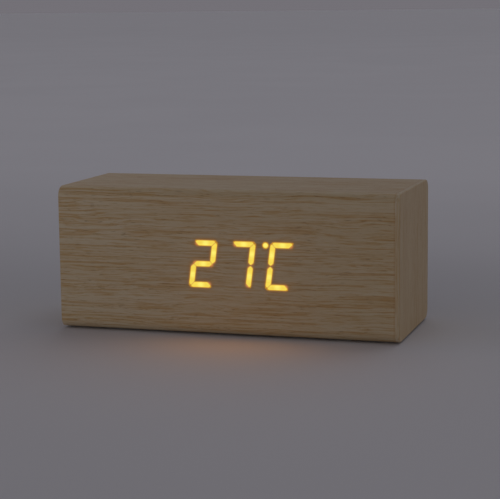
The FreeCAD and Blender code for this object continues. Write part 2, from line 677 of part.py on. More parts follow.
def cut_outer_face(panel):
    """The openings and recesses that are made from the panel's outer face."""
    slot = sketch_at_depth(panel, "slot_outline")
    first_x = dim.vent_x - dim.slot_pitch * (dim.slot_count - 1) / 2
    add_rectangle(slot, around(first_x, dim.slot_width), around(MIDDLE, dim.slot_height))
    first_slot = pocket(panel, slot, "air_slot")
    repeated(panel, "air_slots", first_slot, "X_Axis", dim.slot_pitch, dim.slot_count)
    openings = sketch_at_depth(panel, "opening_outlines")
    button_places = [button_place(index) for index in range(3)]
    add_circles(openings, button_places, dim.button_radius + dim.button_clearance)
    add_circles(openings, port_places(), dim.port_radius)
    add_rectangle(openings, around(USB_PLACE[0], dim.usb_width + 2 * dim.usb_clearance),
                  around(USB_PLACE[1], dim.usb_height + 2 * dim.usb_clearance))
    pocket(panel, openings, "panel_openings")
    recess = sketch_at_depth(panel, "plug_recess_outline", PANEL_OUT)
    add_rectangle(recess, around(USB_PLACE[0], dim.plug_recess_width),
                  around(USB_PLACE[1], dim.plug_recess_height))
    pocket(panel, recess, "plug_recess", dim.plug_recess_depth, along_normal=True)
    symbols = sketch_at_depth(panel, "symbol_outlines", PANEL_OUT)
    for outline in symbol_outlines():
        add_polygon(symbols, outline)
    pocket(panel, symbols, "button_symbols", dim.symbol_depth, along_normal=True)
    scoop = sketch_at_depth(panel, "scoop_outline", PANEL_OUT)
    add_circles(scoop, [(DOOR_END, MIDDLE)], dim.scoop_radius)
    pocket(panel, scoop, "panel_scoop", dim.scoop_depth, along_normal=True)
    holes = (("hole", dim.screw_radius + dim.screw_play, dim.panel_thick),
             ("counterbore", dim.counterbore_radius, dim.counterbore_depth))
    for name, radius, depth in holes:
        outline = sketch_at_depth(panel, f"screw_{name}_places", PANEL_OUT)
        add_circles(outline, PANEL_SCREWS, radius)
        pocket(panel, outline, f"screw_{name}s", depth, along_normal=True)


def rear_panel():
    """The black moulded panel: battery well, board posts, air slots, and button and socket openings."""
    panel = new_body("rear_panel")
    outline = sketch_at_depth(panel, "panel_outline", PANEL_IN)
    add_rectangle(outline, around(0, dim.panel_width), around(MIDDLE, dim.panel_height))
    pad(panel, outline, "panel_sheet", dim.panel_thick, backwards=True)
    fillet(panel, "panel_corners", dim.panel_corner_radius, lambda edge: runs_along(edge, Y_WAY))
    add_bosses(panel)
    add_battery_well(panel)
    cut_outer_face(panel)
    keep("rear_panel", panel)
    screws("rear_panel_screws", PANEL_SCREWS, PANEL_OUT - dim.counterbore_depth, -1)


# ---------------------------------------------------------------- buttons and main board

def build_button(index, name):
    """A round cap, its stem and the collar that keeps it in, and the switch plunger that it pushes."""
    place = button_place(index)
    plunger_end, collar_end = MAIN_BACK + dim.plunger_top, PANEL_IN - dim.collar_play
    cap_end = PANEL_OUT + dim.button_proud
    head = rod(f"{name}_head", "y", place, (collar_end, cap_end), dim.button_radius)

    def is_outer_rim(edge):
        return edge.BoundBox.YMin > float(cap_end) - NEAR
    head = rounded(f"{name}_domed_head", head, dim.button_edge_radius, is_outer_rim)
    collar = rod(f"{name}_collar", "y", place, (collar_end - dim.collar_thick, collar_end), dim.collar_radius)
    stem = rod(f"{name}_stem", "y", place, (plunger_end + dim.stem_play, collar_end), dim.stem_radius)
    keep(f"{name}_button", fuse(f"{name}_button", [head, collar, stem]))
    plunger_ends = (MAIN_BACK + dim.plunger_bottom, plunger_end)
    plunger = rod(f"{name}_plunger", "y", place, plunger_ends, dim.plunger_radius)
    keep(f"{name}_switch_plunger", plunger)


def switch_bodies():
    """The three square switch bodies on the main board, each bored for its plunger."""
    top = MAIN_BACK + dim.switch_height
    floor = MAIN_BACK + dim.plunger_bottom - dim.button_travel - 2 * dim.plunger_clearance
    bore = dim.plunger_radius + dim.plunger_clearance
    blocks, bores = [], []
    for index in range(3):
        x, z = button_place(index)
        blocks.append(box(f"switch_{index}", around(x, dim.switch_size), (MAIN_BACK, top),
                          around(z, dim.switch_size)))
        bores.append(rod(f"switch_bore_{index}", "y", (x, z), (floor, top), bore))
    keep("switch_bodies", cut("switch_bodies", fuse("switch_blocks", blocks), bores))


def usb_socket():
    """The upright USB-C socket: a rounded steel shell with its contact tongue standing inside."""
    x, z = USB_PLACE
    mouth, floor = MAIN_BACK + dim.usb_length, MAIN_BACK + dim.usb_wall

    def racetrack(name, inset, start):
        block = box(name, around(x, dim.usb_width - 2 * inset), (start, mouth),
                    around(z, dim.usb_height - 2 * inset))
        radius = dim.usb_corner_radius - inset
        return rounded(f"{name}_rounded", block, radius, lambda edge: runs_along(edge, Y_WAY))
    outside = racetrack("usb_outside", 0, MAIN_BACK)
    inside = racetrack("usb_inside", dim.usb_wall, floor)
    keep("usb_socket_shell", cut("usb_shell", outside, [inside]))
    tongue = box("usb_tongue", around(x, dim.tongue_width), (floor, floor + dim.tongue_length),
                 around(z, dim.tongue_thick))
    keep("usb_socket_tongue", tongue)


def coin_cell():
    """The clock's coin cell in its round-nested holder, on the front of the main board."""
    place = (dim.main_x + dim.holder_x, MIDDLE + dim.holder_rise)
    floor, brim = MAIN_FRONT - dim.holder_floor, MAIN_FRONT - dim.holder_depth
    holder = box("holder_block", around(place[0], dim.holder_width), (brim, MAIN_FRONT),
                 around(place[1], dim.holder_height))
    nest = rod("holder_nest", "y", place, (brim, floor), dim.coin_radius + dim.coin_play)
    keep("coin_cell_holder", cut("coin_cell_holder", holder, [nest]))
    keep("coin_cell", rod("coin_cell", "y", place, (floor - dim.coin_thick, floor), dim.coin_radius))


def alarm_buzzer():
    """A round buzzer with its sound hole."""
    place = (dim.main_x + dim.buzzer_x, MIDDLE + dim.buzzer_rise)
    far = MAIN_FRONT - dim.buzzer_height
    drum = rod("buzzer_drum", "y", place, (far, MAIN_FRONT), dim.buzzer_radius)
    mouth = rod("buzzer_mouth", "y", place, (far, far + dim.buzzer_mouth_depth), dim.buzzer_mouth_radius)
    keep("alarm_buzzer", cut("alarm_buzzer", drum, [mouth]))


def build_main_board():
    drilled_board("main_board", around(dim.main_x, dim.main_width), (MAIN_FRONT, MAIN_BACK),
                  around(MIDDLE, dim.main_height), MAIN_BOSSES)
    screws("main_board_screws", MAIN_BOSSES, MAIN_FRONT, 1)
    switch_bodies()
    usb_socket()
    coin_cell()
    alarm_buzzer()
    processor_place = (dim.main_x + dim.processor_x, MIDDLE + dim.processor_rise)
    block_on_board("processor_chip", processor_place, MAIN_FRONT, -1,
                   dim.processor_size, dim.processor_size, dim.processor_thick)
    crystal_place = (MAIN_FRONT - dim.crystal_radius, MIDDLE + dim.crystal_rise)
    keep("clock_crystal", rod("clock_crystal", "x", crystal_place,
                              around(dim.main_x + dim.crystal_x, dim.crystal_length), dim.crystal_radius))
    block_on_board("climate_sensor", CLIMATE_PLACE, MAIN_BACK, 1, dim.climate_size, dim.climate_size,
                   dim.climate_thick)


# ---------------------------------------------------------------- carbon dioxide sensor

def build_sensor():
    """The infrared gas sensor: a gilt chamber with two white membranes, on a board behind the air slots."""
    drilled_board("co2_board", around(dim.vent_x, dim.sensor_board_width), (SENSOR_FRONT, SENSOR_BACK),
                  around(MIDDLE, dim.sensor_board_height), SENSOR_BOSSES)
    screws("co2_board_screws", SENSOR_BOSSES, SENSOR_FRONT, 1)
    lid = SENSOR_BACK + dim.chamber_depth
    block = box("chamber_block", around(dim.vent_x, dim.chamber_width), (SENSOR_BACK, lid),
                around(MIDDLE, dim.chamber_height))

    def off_the_board(edge):
        return edge.BoundBox.YMax > float(SENSOR_BACK) + NEAR
    chamber = rounded("chamber_rounded", block, dim.chamber_edge_radius, off_the_board)
    places = [(dim.vent_x + side * dim.membrane_spacing / 2, MIDDLE) for side in (-1, 1)]
    ends = (lid - dim.membrane_thick, lid)
    seats, discs = [[rod(f"membrane_{kind}_{i}", "y", place, ends, dim.membrane_radius)
                     for i, place in enumerate(places)] for kind in ("seat", "disc")]
    keep("co2_chamber", cut("co2_chamber", chamber, seats))
    keep("co2_membranes", fuse("co2_membranes", discs))
    mesh_ends = (PANEL_IN - dim.filter_thick, PANEL_IN)
    mesh = box("filter_sheet", around(dim.vent_x, dim.filter_width), mesh_ends,
               around(MIDDLE, dim.filter_height))
    notches = [rod(f"filter_notch_{i}", "y", place, mesh_ends, dim.boss_radius + dim.screw_play)
               for i, place in enumerate(SENSOR_BOSSES)]
    keep("vent_filter", cut("vent_filter", mesh, notches))


# ---------------------------------------------------------------- batteries

def half_knuckle(name, z, flat):
    """A half-round bar about the hinge line that rolls under the doorway's lip."""
    bar = rod(f"{name}_bar", "z", (HINGE_X, PANEL_IN), z, dim.hook_reach)
    above = box(f"{name}_trim", around(HINGE_X, 2 * dim.hook_reach), (flat, PANEL_IN + dim.hook_reach), z)
    return cut(name, bar, [above])


def battery_door():
    """The door: a plate bevelled at its hinge edge, two hooks under the doorway's lip, and two latches."""
    door = new_body("door_plate_body")
    inner, over_lip = PANEL_IN + dim.door_play, PANEL_IN - dim.door_play
    plate = sketch_on(door, "door_section", "XY_Plane", MIDDLE)
    add_polygon(plate, [(HINGE_X + dim.door_root, inner), (DOOR_END, inner), (DOOR_END, PANEL_OUT),
                        (HINGE_X + dim.door_bevel, PANEL_OUT)])
    pad(door, plate, "door_plate", DOOR_HEIGHT, symmetric=True)
    tip, root, hook_end = PANEL_IN - dim.hook_reach, HINGE_X + dim.door_root, HINGE_X + dim.hook_root
    knuckles = []
    for side, name in ((-1, "lower"), (1, "upper")):
        row_z = MIDDLE + side * dim.cell_pitch / 2
        hook = sketch_on(door, f"{name}_hook_section", "XY_Plane", row_z)
        add_polygon(hook, [(HINGE_X, over_lip), (HINGE_X, tip), (hook_end, tip), (hook_end, inner),
                           (root, inner), (root, over_lip)])
        pad(door, hook, f"{name}_hook", dim.hook_width, symmetric=True)
        knuckles.append(half_knuckle(f"{name}_knuckle", around(row_z, dim.hook_width), over_lip))
        tongue = sketch_at_depth(door, f"{name}_latch_outline", inner)
        latch_x = HINGE_X + dim.latch_shift
        add_rectangle(tongue, (latch_x, latch_x + dim.latch_thick), around(row_z, dim.latch_width))
        pad(door, tongue, f"{name}_latch", dim.latch_length)
    scoop = sketch_at_depth(door, "door_scoop_outline", PANEL_OUT)
    add_circles(scoop, [(DOOR_END, MIDDLE)], dim.scoop_radius)
    pocket(door, scoop, "door_scoop", dim.scoop_depth, along_normal=True)
    grip = sketch_at_depth(door, "grip_outline", PANEL_OUT)
    grip_x = DOOR_END - dim.grip_inset - dim.grip_pitch * (dim.grip_count - 1)
    add_rectangle(grip, around(grip_x, dim.grip_width), around(MIDDLE, DOOR_HEIGHT / 2))
    groove = pocket(door, grip, "grip_groove", dim.grip_depth, along_normal=True)
    repeated(door, "grip_grooves", groove, "X_Axis", dim.grip_pitch, dim.grip_count)
    keep("battery_door", fuse("battery_door", [door] + knuckles))


def cell_rows():
    """Each cell's height, and the side, +1 or -1, that its positive end faces."""
    return [(MIDDLE + (i - 1) * dim.cell_pitch, 1 if i % 2 == 0 else -1) for i in range(3)]


def aaa_cell(name, z, side):
    """One AAA cell lying along X, its positive end towards side and touching the contact there."""
    def along(start, end):
        near, far = [dim.well_x + side * (CONTACT_REACH - distance) for distance in (start, end)]
        return (far, near) if side > 0 else (near, far)
    shoulder = dim.nub_length + dim.shoulder_length
    parts = (("nub", 0, dim.nub_length, dim.nub_radius),
             ("shoulder", dim.nub_length, shoulder, dim.shoulder_radius),
             ("can", shoulder, dim.cell_length, dim.cell_radius))
    return fuse(name, [rod(f"{name}_{part}", "x", (CELL_Y, z), along(start, end), radius)
                       for part, start, end, radius in parts])


def conical_spring(length):
    """A coil that widens as it rises along Z, lofted through short straight lengths of eight-sided wire."""
    wire, tip = float(dim.spring_wire_radius), float(dim.spring_tip_radius)
    turns, steps, sides = float(dim.spring_turns), int(float(dim.spring_steps)), int(float(dim.spring_sides))
    spread = math.tan(math.radians(float(dim.spring_cone_angle)))
    rings = []
    for step in range(int(turns * steps) + 1):
        angle, rise = 2 * math.pi * step / steps, length * step / (turns * steps)
        radius = tip + spread * rise
        outward = Vector(math.cos(angle), math.sin(angle), 0)
        onward = Vector(-radius * math.sin(angle), radius * math.cos(angle), length / (2 * math.pi * turns))
        upward = onward.normalize().cross(outward)
        centre = outward * radius + Z_WAY * rise
        turn = [2 * math.pi * side / sides for side in range(sides)]
        edge = [centre + (outward * math.cos(around_wire) + upward * math.sin(around_wire)) * wire
                for around_wire in turn]
        rings.append(Part.makePolygon(edge + edge[:1]))
    return Part.makeLoft(rings, True, True)


def battery_springs():
    """Conical contact springs at the negative ends, widest where they meet the contact plates."""
    wire = float(dim.spring_wire_radius)
    spring = conical_spring(float(2 * CONTACT_REACH - dim.cell_length) - 2 * wire)
    springs = []
    for z, side in cell_rows():
        start_x = float(dim.well_x + side * (CONTACT_REACH - dim.cell_length)) - side * wire
        place = Placement(Vector(start_x, float(CELL_Y), float(z)), Rotation(Z_WAY, X_WAY * -side))
        springs.append(spring.transformed(place.toMatrix(), True))
    keep("battery_springs", fixed_shape("battery_springs", springs))


def contact_plates():
    """Plain contact plates on both end walls of the well."""
    plates = []
    for row, (z, _) in enumerate(cell_rows()):
        for side, name in ((-1, "left"), (1, "right")):
            ends = [dim.well_x + side * CONTACT_REACH, dim.well_x + side * dim.cavity_length / 2]
            plates.append(box(f"{name}_contact_{row}", ends[::side], around(CELL_Y, dim.contact_size),
                              around(z, dim.contact_size)))
    keep("battery_contacts", fuse("battery_contacts", plates))


def build_batteries():
    battery_door()
    cells = [aaa_cell(f"cell_{row}", z, side) for row, (z, side) in enumerate(cell_rows())]
    keep("battery_cells", fuse("battery_cells", cells))
    battery_springs()
    contact_plates()


# ---------------------------------------------------------------- wiring

def ring_at(place):
    return Part.Wire(Part.makeCircle(float(dim.lead_radius), place, Y_WAY))


def display_ribbon():
    """The flat cable from the display board to the main board, with its two sockets."""
    display_place = (dim.display_socket_x, MIDDLE + dim.display_socket_rise)
    main_place = (dim.main_x, MIDDLE + dim.main_socket_rise)
    size = (dim.socket_width, dim.socket_height, dim.socket_depth)
    block_on_board("display_socket", display_place, DISPLAY_BACK, 1, *size)
    block_on_board("ribbon_socket", main_place, MAIN_FRONT, -1, *size)
    start = Vector(float(display_place[0]), float(DISPLAY_BACK + dim.socket_depth), float(display_place[1]))
    end = Vector(float(main_place[0]), float(MAIN_FRONT - dim.socket_depth), float(main_place[1]))
    half_x, half_z = X_WAY * (float(dim.ribbon_width) / 2), Z_WAY * (float(dim.ribbon_thick) / 2)
    corners = ((1, 1), (-1, 1), (-1, -1), (1, -1))
    edge = [start + half_x * u + half_z * w for u, w in corners]
    strip = Part.makePolygon(edge + edge[:1])
    sag = (start + end) / 2 - Z_WAY * float(dim.socket_height)
    keep("display_ribbon", fixed_shape("display_ribbon", [swept([start, sag, end], strip, Y_WAY, Y_WAY)]))


def battery_leads():
    """The red and the black lead, from the well's front face to their plug on the main board."""
    plug = (dim.main_x + dim.plug_x, MIDDLE + dim.plug_rise)
    block_on_board("battery_plug", plug, MAIN_FRONT, -1, dim.plug_width, dim.plug_height, dim.plug_depth)
    for label, side in (("battery_lead_red", -1), ("battery_lead_black", 1)):
        shift = side * float(dim.lead_spacing) / 2
        start_z = float(MIDDLE + dim.lead_start_rise) - shift
        start = Vector(float(dim.lead_start_x), float(WELL_FRONT), start_z)
        end = Vector(float(plug[0]) + shift, float(MAIN_FRONT - dim.plug_depth), float(plug[1]))
        bow = (start + end) / 2 - Y_WAY * (float(dim.jumper_bow) + 2 * shift) - Z_WAY * shift / 2
        keep(label, fixed_shape(label, [swept([start, bow, end], ring_at(start), -Y_WAY, Y_WAY)]))


def sensor_leads():
    """Four jumper leads from the gas sensor's board to the main board."""
    leads = []
    for i in range(int(float(dim.jumper_count))):
        z = float(MIDDLE + (i - 1.5) * dim.jumper_pitch)
        start = Vector(float(dim.vent_x + dim.jumper_start_x), float(SENSOR_FRONT), z)
        end = Vector(float(dim.main_x + dim.jumper_end_x), float(MAIN_FRONT), z)
        bow = (start + end) / 2 - Y_WAY * float(dim.jumper_bow)
        leads.append(swept([start, bow, end], ring_at(start), -Y_WAY, Y_WAY, one_way_bend=True))
    keep("co2_leads", fixed_shape("co2_leads", leads))


# ---------------------------------------------------------------- check and write

def failures():
    """Names of objects that failed, and of sub-parts without a sound solid."""
    broken = [thing.Name for thing in doc.Objects if {"Invalid", "Error"} & set(thing.State)]
    for label, thing in nodes.items():
        if thing.Shape.isNull() or not thing.Shape.isValid() or not thing.Shape.Solids:
            broken.append(label)
    return broken


def write_steps():
    os.makedirs("parts", exist_ok=True)
    for label, thing in nodes.items():
        thing.Shape.exportStep(os.path.join("parts", f"{label}.step"))


build_case(lit_segments())
build_display()
rear_panel()
for button_index, button_name in enumerate(("set", "up", "down")):
    build_button(button_index, button_name)
build_main_board()
build_sensor()
build_batteries()
display_ribbon()
battery_leads()
sensor_leads()
doc.recompute()
if failures():
    sys.exit(f"these objects failed: {failures()}")
write_steps()
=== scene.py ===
"""Looks for a desk carbon dioxide monitor in a wood-veneered block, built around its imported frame.

The frame's sub-parts keep their shapes and get procedural materials. Small details that the frame doesn't
hold are added as mesh pieces. Places and lengths are in millimetres unless a comment says otherwise, and
turn into Blender's metres where an object is made.
"""

import math

import bmesh
import bpy
from mathutils import Matrix, Vector


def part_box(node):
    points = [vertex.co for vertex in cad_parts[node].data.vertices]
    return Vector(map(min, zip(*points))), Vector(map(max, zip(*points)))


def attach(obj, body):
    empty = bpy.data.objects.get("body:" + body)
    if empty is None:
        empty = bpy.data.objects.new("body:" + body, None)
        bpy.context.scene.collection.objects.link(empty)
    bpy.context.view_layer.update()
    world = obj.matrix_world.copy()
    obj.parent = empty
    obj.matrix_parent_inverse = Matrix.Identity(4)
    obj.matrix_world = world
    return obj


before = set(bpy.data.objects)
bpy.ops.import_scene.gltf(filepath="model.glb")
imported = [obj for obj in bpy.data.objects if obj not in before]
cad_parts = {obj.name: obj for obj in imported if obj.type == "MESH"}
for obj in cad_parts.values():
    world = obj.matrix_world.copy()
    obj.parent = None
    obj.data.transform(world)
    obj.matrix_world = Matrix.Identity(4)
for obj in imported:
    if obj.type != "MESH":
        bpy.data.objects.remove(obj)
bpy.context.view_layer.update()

MM = 0.001


def box_of(node):
    """The low and the high corner of a frame node's box."""
    return tuple(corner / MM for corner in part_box(node))


def centre_of(node):
    """The middle of a frame node's box."""
    low, high = box_of(node)
    return (low + high) / 2


def add_object(name, data):
    """A new object in the scene."""
    thing = bpy.data.objects.new(name, data)
    bpy.context.scene.collection.objects.link(thing)
    return thing


DISPLAY = centre_of("display_board")
WRAP_LOW, WRAP_HIGH = box_of("veneer_wrap")
FRONT_Y, SEAM_X = WRAP_LOW.y, WRAP_HIGH.x


# ---------------------------------------------------------------- node graphs

class Graph:
    """One material's node tree. Each method adds what it names and gives back its output."""

    def __init__(self, name):
        self.material = bpy.data.materials.new(name)
        self.material.use_nodes = True
        self.tree = self.material.node_tree
        self.shader = self.tree.nodes["Principled BSDF"]

    def feed(self, socket, value):
        if isinstance(value, bpy.types.NodeSocket):
            self.tree.links.new(value, socket)
        elif socket.type == "RGBA":
            socket.default_value = (*value, 1)
        else:
            socket.default_value = value

    def add(self, kind, inputs=(), output=0, **settings):
        node = self.tree.nodes.new(kind)
        for name, value in settings.items():
            setattr(node, name, value)
        for key, value in dict(inputs).items():
            self.feed(node.inputs[key], value)
        return node.outputs[output]

    def maths(self, operation, *values, clamp=False):
        return self.add("ShaderNodeMath", enumerate(values), operation=operation, use_clamp=clamp)

    def sum(self, *values):
        total = values[0]
        for value in values[1:]:
            total = self.maths("ADD", total, value)
        return total

    def product(self, *values):
        total = values[0]
        for value in values[1:]:
            total = self.maths("MULTIPLY", total, value)
        return total

    def here(self):
        """The place being shaded, in millimetres, fixed to the piece."""
        place = self.add("ShaderNodeTexCoord", output="Object")
        return self.add("ShaderNodeVectorMath", {0: place, "Scale": 1 / MM}, operation="SCALE")

    def split(self, vector):
        node = self.add("ShaderNodeSeparateXYZ", {0: vector}).node
        return node.outputs[0], node.outputs[1], node.outputs[2]

    def join(self, x, y, z):
        return self.add("ShaderNodeCombineXYZ", {0: x, 1: y, 2: z})

    def noise(self, vector, size, detail=2, rough=0.5, seed=0):
        """Cloudy noise from 0 to 1 whose blotches are about size millimetres along each axis."""
        scale = tuple(1 / length for length in size)
        shift = (seed * 7.31, seed * 3.17, seed * 5.73)
        moved = self.add("ShaderNodeVectorMath", {0: vector, 1: scale, 2: shift}, operation="MULTIPLY_ADD")
        inputs = {"Vector": moved, "Scale": 1, "Detail": detail, "Roughness": rough}
        return self.add("ShaderNodeTexNoise", inputs)

    def cells(self, vector, size, feature="F1", output="Distance", randomness=1):
        """A pattern of cells about size millimetres across."""
        inputs = {"Vector": vector, "Scale": 1 / size, "Randomness": randomness}
        return self.add("ShaderNodeTexVoronoi", inputs, output=output, feature=feature)

    def span(self, value, low, high, to_low=0, to_high=1, smooth=True):
        """Takes value from the range low..high to another one, and holds it at that range's ends."""
        kind = "SMOOTHSTEP" if smooth else "LINEAR"
        return self.add("ShaderNodeMapRange", enumerate((value, low, high, to_low, to_high)),
                        interpolation_type=kind)

    def mix(self, factor, first, second, blend="MIX"):
        return self.add("ShaderNodeMix", {0: factor, 6: first, 7: second}, output=2, data_type="RGBA",
                        blend_type=blend)

    def blend_values(self, factor, first, second):
        return self.add("ShaderNodeMix", {0: factor, 2: first, 3: second})

    def bump(self, height, depth, under=None):
        """A normal bumped by height, a value from 0 to 1, times depth in millimetres."""
        inputs = {"Height": height, "Distance": depth * MM, "Strength": 1}
        if under is not None:
            inputs["Normal"] = under
        return self.add("ShaderNodeBump", inputs)

    def soft_edges(self, radius):
        """The surface's normal with its sharp edges rounded to radius millimetres."""
        return self.add("ShaderNodeBevel", {"Radius": radius * MM}, samples=4)

    def edge_wear(self, softened):
        """1 along sharp edges, fading to 0 on flat faces."""
        flat = self.add("ShaderNodeNewGeometry", output="True Normal")
        match = self.add("ShaderNodeVectorMath", {0: softened, 1: flat}, output="Value",
                         operation="DOT_PRODUCT")
        return self.span(match, 0.995, 0.85)

    def finish(self, **inputs):
        """Feeds the shader's inputs, named with underscores for their spaces, and gives the material."""
        for name, value in inputs.items():
            self.feed(self.shader.inputs[name.replace("_", " ").title().replace("Ior", "IOR")], value)
        return self.material


# ---------------------------------------------------------------- the lit digits

DIGIT_PITCH, HALF_WIDTH, HALF_HEIGHT = 19.1, 4.65, 10.1
LEAN = math.tan(math.radians(7.5))
# Each bar's two ends, in half widths across and half heights up from the digit's centre.
BARS = {"a": ((-1, 1), (1, 1)), "b": ((1, 1), (1, 0)), "c": ((1, 0), (1, -1)), "d": ((1, -1), (-1, -1)),
        "e": ((-1, -1), (-1, 0)), "f": ((-1, 0), (-1, 1)), "g": ((-1, 0), (1, 0))}
UPRIGHTS = "bcef"
# The lit bars of each digit, counted from 0 at the left: 2, 7 and C. Digit 0 is dark.
READING = {1: "abged", 2: "abc", 3: "afed"}
# The degree sign's digit, and its place across and up from that digit's centre.
DEGREE_DOT = (3, -8.3, 9.9)
CORNER_GAP, MIDDLE_GAP = 0.9, 1.5
BAR_EDGE = 1.45


def face_place(digit, across, up):
    """The place on the front face of a point about a digit's centre, given as if the digit stood upright."""
    x = DISPLAY.x + (digit - 1.5) * DIGIT_PITCH + across + up * LEAN
    return Vector((x, 0, DISPLAY.z + up))


def lit_lines():
    """The middle line of each lit bar, as its two ends; the degree dot is a line of almost no length."""
    lines = []
    for digit, letters in READING.items():
        for letter in letters:
            start, end = (Vector((u * HALF_WIDTH, w * HALF_HEIGHT)) for u, w in BARS[letter])
            onward = (end - start).normalized()
            start_gap, end_gap = (MIDDLE_GAP if letter in UPRIGHTS and place.y == 0 else CORNER_GAP
                                  for place in (start, end))
            lines.append((face_place(digit, *(start + onward * start_gap)),
                          face_place(digit, *(end - onward * end_gap))))
    dot = face_place(*DEGREE_DOT)
    almost_nothing = Vector((0.01, 0, 0))
    return lines + [(dot, dot + almost_nothing)]


def nearest(graph, distances):
    """The smallest of many distances, blended a little where two are nearly equal."""
    blending = 0.3
    least = distances[0]
    for distance in distances[1:]:
        least = graph.maths("SMOOTH_MIN", least, distance, blending)
    return least


def bar_distances(graph):
    """Distances in the front face to the nearest lit bar's middle line, and to the nearest LED behind one."""
    x, _, z = graph.split(graph.here())
    place = graph.join(x, 0, z)
    from_lines, from_leds = [], []
    for start, end in lit_lines():
        run = end - start
        offset = graph.add("ShaderNodeVectorMath", {0: place, 1: tuple(start)}, operation="SUBTRACT")
        along = graph.add("ShaderNodeVectorMath", {0: offset, 1: tuple(run / run.length_squared)},
                          output="Value", operation="DOT_PRODUCT")
        held = graph.maths("ADD", along, 0, clamp=True)
        foot = graph.add("ShaderNodeVectorMath", {0: tuple(run), "Scale": held}, operation="SCALE")
        from_lines.append(graph.add("ShaderNodeVectorMath", {0: offset, 1: foot}, output="Value",
                                    operation="DISTANCE"))
        from_leds.append(graph.add("ShaderNodeVectorMath", {0: place, 1: tuple((start + end) / 2)},
                                   output="Value", operation="DISTANCE"))
    return nearest(graph, from_lines), nearest(graph, from_leds)


# ---------------------------------------------------------------- wood

STREAK, TAN, CREAM = (0.57, 0.335, 0.12), (0.64, 0.475, 0.27), (0.73, 0.61, 0.43)
PORE, SEAM = (0.30, 0.17, 0.065), (0.44, 0.20, 0.06)
WOOD_SHEEN = 0.26
SEAM_WIDTH, VENEER_THICK = 1.2, 0.5


def oak(graph, run, across, depth, strength=1.0):
    """Oak grain along run. Gives its colour, its roughness and the height of its surface."""
    grain = graph.join(run, across, depth)
    slow = graph.noise(grain, (70, 18, 18), seed=1)
    quick = graph.noise(grain, (24, 5, 5), seed=2)
    shift = graph.sum(graph.maths("MULTIPLY_ADD", slow, 6, -3),
                      graph.maths("MULTIPLY_ADD", quick, 1.4, -0.7))
    bent = graph.join(run, graph.sum(across, shift), graph.sum(depth, shift))
    bands = graph.noise(bent, (130, 4, 4), seed=3)
    rings = graph.noise(bent, (75, 1.05, 1.05), rough=0.55, seed=9)
    streaks = graph.noise(bent, (11, 0.5, 0.5), seed=4)
    pale = graph.noise(bent, (36, 0.6, 0.6), seed=6)
    dashes = graph.noise(bent, (4, 0.38, 0.38), detail=1, seed=7)
    ring_mask = graph.span(rings, 0.48, 0.66)
    streak_mask = graph.product(graph.span(streaks, 0.50, 0.68), graph.span(bands, 0.30, 0.60, 0.6, 1))
    pale_mask = graph.span(pale, 0.52, 0.68)
    pore_mask = graph.product(graph.span(dashes, 0.60, 0.74), graph.span(rings, 0.42, 0.58, 0.3, 1))
    colour = graph.mix(graph.span(bands, 0.25, 0.75, 0.2, 0.7), CREAM, TAN)
    colour = graph.mix(graph.product(ring_mask, 0.72 * strength), colour, STREAK)
    colour = graph.mix(graph.product(streak_mask, 0.75 * strength), colour, STREAK)
    colour = graph.mix(graph.product(pale_mask, 0.65 * strength), colour, CREAM)
    colour = graph.mix(graph.product(pore_mask, 0.55 * strength), colour, PORE)
    roughness = graph.sum(0.44, graph.product(streak_mask, 0.1), graph.product(pore_mask, 0.15))
    height = graph.maths("SUBTRACT", graph.product(streaks, 0.35), pore_mask)
    return colour, roughness, height


def long_face_wood(graph):
    """The wrap's wood: grain along the width, and a tone that deepens slightly from left to right."""
    x, y, z = graph.split(graph.here())
    colour, roughness, height = oak(graph, x, z, y)
    deepened = graph.mix(1.0, colour, (0.86, 0.84, 0.80), blend="MULTIPLY")
    rightward = graph.span(x, -SEAM_X, SEAM_X, smooth=False)
    return graph.mix(rightward, colour, deepened), roughness, height


def veneer():
    """The wrap's veneer, with the light of the digits spreading a little way in it, as glow and as a painted
    orange tint.
    """
    graph = Graph("oak_veneer")
    x, y, _ = graph.split(graph.here())
    colour, roughness, height = long_face_wood(graph)
    at_seam = graph.span(x, SEAM_X - SEAM_WIDTH, SEAM_X)
    colour = graph.mix(graph.product(at_seam, 0.3), colour, SEAM)
    from_bar, _ = bar_distances(graph)
    on_front = graph.span(y, FRONT_Y + VENEER_THICK, FRONT_Y + 0.1)
    # Painted light: the wood's colour turns orange within a few millimetres of each lit bar, as the digits'
    # light tints it.
    painted_glow_tint = graph.product(graph.span(from_bar, 4.0, 1.5), on_front)
    colour = graph.mix(graph.product(painted_glow_tint, 0.5), colour, STREAK)
    outside = graph.maths("MAXIMUM", graph.maths("SUBTRACT", from_bar, BAR_EDGE), 0)
    rim = graph.maths("EXPONENT", graph.product(outside, -3.2))
    haze = graph.maths("EXPONENT", graph.product(from_bar, -0.3))
    between = graph.span(from_bar, 1.35, 1.0)
    glow = graph.product(graph.sum(graph.product(rim, 0.20), graph.product(haze, 0.02),
                                   graph.product(between, 0.25)), on_front)
    return graph.finish(base_color=colour, roughness=roughness, normal=graph.bump(height, 0.04),
                        specular_ior_level=WOOD_SHEEN, emission_color=(1.0, 0.32, 0.04),
                        emission_strength=glow)


def end_cap_wood(graph):
    """An end cap's wood: upright and fainter grain, tinted as painted light by which way it faces. Also gives
    1 on the cap's face and 0 on its edge.
    """
    x, y, z = graph.split(graph.here())
    facing, _, _ = graph.split(graph.add("ShaderNodeNewGeometry", output="True Normal"))
    on_face = graph.span(graph.maths("ABSOLUTE", facing), 0.6, 0.8)
    colour, roughness, height = oak(graph, z, y, x, strength=0.6)
    # Painted light: the cap's face is tinted warm and its narrow edge cool and a little darker, for how light
    # falls on each.
    painted_facing_tint = graph.mix(on_face, (0.88, 0.90, 0.93), (0.97, 0.92, 0.82))
    return graph.mix(1.0, colour, painted_facing_tint, blend="MULTIPLY"), roughness, height, on_face


def right_end_veneer():
    """The right end cap, whose narrow edge shows from the front."""
    graph = Graph("oak_end_right")
    colour, roughness, height, _ = end_cap_wood(graph)
    return graph.finish(base_color=colour, roughness=roughness, specular_ior_level=WOOD_SHEEN,
                        normal=graph.bump(height, 0.03))


